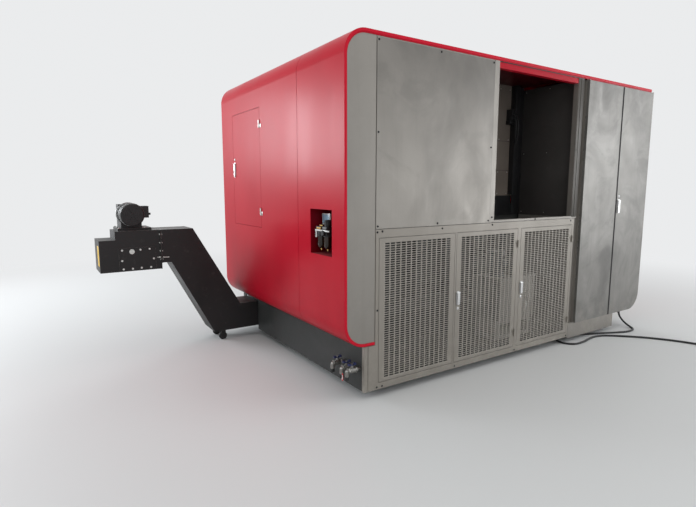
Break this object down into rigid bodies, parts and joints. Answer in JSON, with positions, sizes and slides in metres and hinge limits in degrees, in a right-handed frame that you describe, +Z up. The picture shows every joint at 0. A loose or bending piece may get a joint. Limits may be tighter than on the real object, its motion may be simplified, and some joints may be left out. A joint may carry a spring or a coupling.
{
  "type": "cnc turning center",
  "caption": "Slant-bed turning center in rounded sheet-metal covers, with slotted service doors, an electrical cabinet and a hinged-belt chip conveyor.",
  "frame": {"origin": "middle of the machine's footprint on the floor, with the chip conveyor and without the mains cable", "axes": "+X along the machine from the chip conveyor's end to the spindle's end, +Y from the service side to the operator's side, +Z up"},
  "size_m": [4.754, 3.5359, 2.347],
  "materials": {
    "red_paint": "gloss",
    "grey_paint": "satin",
    "dark_paint": "satin",
    "base_paint": "satin",
    "casting_paint": "painted",
    "ground_steel": "ground",
    "handle_metal": "satin chrome",
    "zinc_sheet": "satin",
    "pane": "clear",
    "black_plastic": "matt",
    "blue_grip": "gloss",
    "red_plastic": "gloss",
    "brass": "satin",
    "wheel_rubber": "matt",
    "cable_rubber": "matt",
    "plug_shell": "satin",
    "motor_paint": "satin",
    "belt_steel": "worn"
  },
  "bodies": {
    "machine": {"machine_base": "base_paint", "levelling_feet": "ground_steel", "slant_bed": "casting_paint", "guide_rails": "ground_steel", "headstock": "casting_paint", "hydraulic_unit": "zinc_sheet", "rear_shell": "red_paint", "front_shell": "red_paint", "column_plate": "grey_paint", "upper_plate": "grey_paint", "bay_frame": "grey_paint", "bay_back_wall": "zinc_sheet", "lower_frame": "grey_paint", "slotted_panel": "grey_paint", "cabinet_body": "grey_paint", "cabinet_gear": "zinc_sheet", "service_recess": "zinc_sheet", "air_filter_unit": "zinc_sheet", "valve_bank": "brass", "right_side_cover": "red_paint", "front_panel": "grey_paint", "front_apron": "grey_paint", "conveyor_casing": "dark_paint", "conveyor_head": "dark_paint", "conveyor_belt": "belt_steel", "conveyor_motor": "motor_paint", "mains_cable": "cable_rubber", "mains_cable_coil": "cable_rubber", "mains_cable_plug": "plug_shell"},
    "spindle": {"spindle": "ground_steel", "chuck_body": "ground_steel"},
    "chuck_jaw_1": {"chuck_jaw_1": "ground_steel"},
    "chuck_jaw_2": {"chuck_jaw_2": "ground_steel"},
    "chuck_jaw_3": {"chuck_jaw_3": "ground_steel"},
    "saddle": {"saddle": "casting_paint"},
    "cross_slide": {"cross_slide": "casting_paint"},
    "turret": {"turret_disc": "ground_steel"},
    "tailstock": {"tailstock": "casting_paint"},
    "quill": {"quill": "ground_steel"},
    "slotted_door_1": {"slotted_door_1": "grey_paint"},
    "slotted_door_2": {"slotted_door_2": "grey_paint"},
    "slotted_door_1_handle": {"slotted_door_1_handle": "handle_metal"},
    "slotted_door_2_handle": {"slotted_door_2_handle": "handle_metal"},
    "cabinet_left_leaf": {"cabinet_left_leaf": "grey_paint"},
    "cabinet_right_leaf": {"cabinet_right_leaf": "grey_paint"},
    "cabinet_handle": {"cabinet_handle": "handle_metal"},
    "access_door": {"access_door": "red_paint"},
    "access_door_handle": {"access_door_handle": "handle_metal"},
    "regulator_knob": {"regulator_knob": "black_plastic"},
    "valve_lever_1": {"valve_lever_1": "blue_grip"},
    "valve_lever_2": {"valve_lever_2": "blue_grip"},
    "valve_lever_3": {"valve_lever_3": "blue_grip"},
    "operator_door": {"operator_door": "red_paint", "door_window": "pane"},
    "control_pendant": {"control_pendant": "dark_paint"},
    "stop_button": {"stop_button": "red_plastic"},
    "override_knob": {"override_knob": "black_plastic"},
    "conveyor_shaft": {"conveyor_shaft": "ground_steel"},
    "conveyor_wheel_1": {"conveyor_wheel_1": "wheel_rubber"},
    "conveyor_wheel_2": {"conveyor_wheel_2": "wheel_rubber"}
  },
  "joints": [
    {"name": "spindle_spin", "type": "hinge", "parent": "machine", "child": "spindle", "pos_m": [1.1525, 0.14465, 1.08], "axis": [1, 0, 0], "continuous": true},
    {"name": "chuck_jaw_1_slide", "type": "slide", "parent": "spindle", "child": "chuck_jaw_1", "axis": [0, 0, 1], "range_m": [-0.004, 0.004]},
    {"name": "chuck_jaw_2_slide", "type": "slide", "parent": "spindle", "child": "chuck_jaw_2", "axis": [0, -0.866, -0.5], "range_m": [-0.004, 0.004]},
    {"name": "chuck_jaw_3_slide", "type": "slide", "parent": "spindle", "child": "chuck_jaw_3", "axis": [0, 0.866, -0.5], "range_m": [-0.004, 0.004]},
    {"name": "saddle_slide", "type": "slide", "parent": "machine", "child": "saddle", "axis": [1, 0, 0], "range_m": [-0.25, 0.32]},
    {"name": "cross_slide_travel", "type": "slide", "parent": "saddle", "child": "cross_slide", "axis": [0, -0.7071, 0.7071], "range_m": [-0.17, 0.03]},
    {"name": "turret_index", "type": "hinge", "parent": "cross_slide", "child": "turret", "pos_m": [0.1025, -0.15941, 1.38406], "axis": [1, 0, 0], "continuous": true},
    {"name": "tailstock_slide", "type": "slide", "parent": "machine", "child": "tailstock", "axis": [1, 0, 0], "range_m": [-0.15, 0.25]},
    {"name": "quill_slide", "type": "slide", "parent": "tailstock", "child": "quill", "axis": [1, 0, 0], "range_m": [0, 0.12]},
    {"name": "slotted_door_1_hinge", "type": "hinge", "parent": "machine", "child": "slotted_door_1", "pos_m": [0.45, -1.19135, 0.224], "axis": [0, 0, 1], "range_deg": [0, 110]},
    {"name": "slotted_door_2_hinge", "type": "hinge", "parent": "machine", "child": "slotted_door_2", "pos_m": [1.181, -1.19135, 0.224], "axis": [0, 0, 1], "range_deg": [0, 110]},
    {"name": "slotted_door_1_handle_lift", "type": "hinge", "parent": "slotted_door_1", "child": "slotted_door_1_handle", "pos_m": [-0.2035, -1.19215, 0.632], "axis": [-1, 0, 0], "range_deg": [0, 40]},
    {"name": "slotted_door_2_handle_lift", "type": "hinge", "parent": "slotted_door_2", "child": "slotted_door_2_handle", "pos_m": [0.5155, -1.19215, 0.632], "axis": [-1, 0, 0], "range_deg": [0, 40]},
    {"name": "cabinet_left_leaf_hinge", "type": "hinge", "parent": "machine", "child": "cabinet_left_leaf", "pos_m": [1.2855, -1.20335, 2.31], "axis": [0, 0, 1], "range_deg": [-110, 0]},
    {"name": "cabinet_right_leaf_hinge", "type": "hinge", "parent": "machine", "child": "cabinet_right_leaf", "pos_m": [2.3635, -1.20335, 2.31], "axis": [0, 0, 1], "range_deg": [0, 110]},
    {"name": "cabinet_handle_lift", "type": "hinge", "parent": "cabinet_right_leaf", "child": "cabinet_handle", "pos_m": [1.8685, -1.21415, 1.279], "axis": [-1, 0, 0], "range_deg": [0, 40]},
    {"name": "access_door_hinge", "type": "hinge", "parent": "machine", "child": "access_door", "pos_m": [-1.2035, 0.08715, 1.202], "axis": [0, 0, 1], "range_deg": [0, 110]},
    {"name": "access_door_handle_lift", "type": "hinge", "parent": "access_door", "child": "access_door_handle", "pos_m": [-1.2043, 0.66465, 1.613], "axis": [0, 1, 0], "range_deg": [0, 40]},
    {"name": "regulator_knob_turn", "type": "hinge", "parent": "machine", "child": "regulator_knob", "pos_m": [-1.1475, -0.90235, 1.142], "axis": [0, 0, 1], "continuous": true},
    {"name": "valve_lever_1_turn", "type": "hinge", "parent": "machine", "child": "valve_lever_1", "pos_m": [-1.1095, -1.13935, 0.248], "axis": [0, 0, 1], "range_deg": [0, 90]},
    {"name": "valve_lever_2_turn", "type": "hinge", "parent": "machine", "child": "valve_lever_2", "pos_m": [-1.1095, -1.07335, 0.248], "axis": [0, 0, 1], "range_deg": [0, 90]},
    {"name": "valve_lever_3_turn", "type": "hinge", "parent": "machine", "child": "valve_lever_3", "pos_m": [-1.1095, -0.95735, 0.248], "axis": [0, 0, 1], "range_deg": [0, 90]},
    {"name": "operator_door_slide", "type": "slide", "parent": "machine", "child": "operator_door", "axis": [1, 0, 0], "range_m": [0, 0.86]},
    {"name": "control_pendant_swivel", "type": "hinge", "parent": "machine", "child": "control_pendant", "pos_m": [-1.0825, 1.06865, 1.44], "axis": [0, 0, 1], "range_deg": [0, 80]},
    {"name": "stop_button_press", "type": "slide", "parent": "control_pendant", "child": "stop_button", "axis": [0, -0.9701, -0.2425], "range_m": [0, 0.005], "stiffness_N_per_m": 900},
    {"name": "override_knob_turn", "type": "hinge", "parent": "control_pendant", "child": "override_knob", "pos_m": [-0.9575, 1.18865, 1.24], "axis": [0, 0.9701, 0.2425], "range_deg": [-135, 135]},
    {"name": "conveyor_shaft_spin", "type": "hinge", "parent": "machine", "child": "conveyor_shaft", "pos_m": [-2.1275, 0.58465, 0.88], "axis": [0, 1, 0], "continuous": true},
    {"name": "conveyor_wheel_1_spin", "type": "hinge", "parent": "machine", "child": "conveyor_wheel_1", "pos_m": [-1.3775, 0.63465, 0.036], "axis": [0, 1, 0], "continuous": true},
    {"name": "conveyor_wheel_2_spin", "type": "hinge", "parent": "machine", "child": "conveyor_wheel_2", "pos_m": [-1.3775, 0.81465, 0.036], "axis": [0, 1, 0], "continuous": true}
  ],
  "couplings": [
    {"joint": "chuck_jaw_2_slide", "follows": "chuck_jaw_1_slide", "ratio": 1},
    {"joint": "chuck_jaw_3_slide", "follows": "chuck_jaw_1_slide", "ratio": 1}
  ]
}
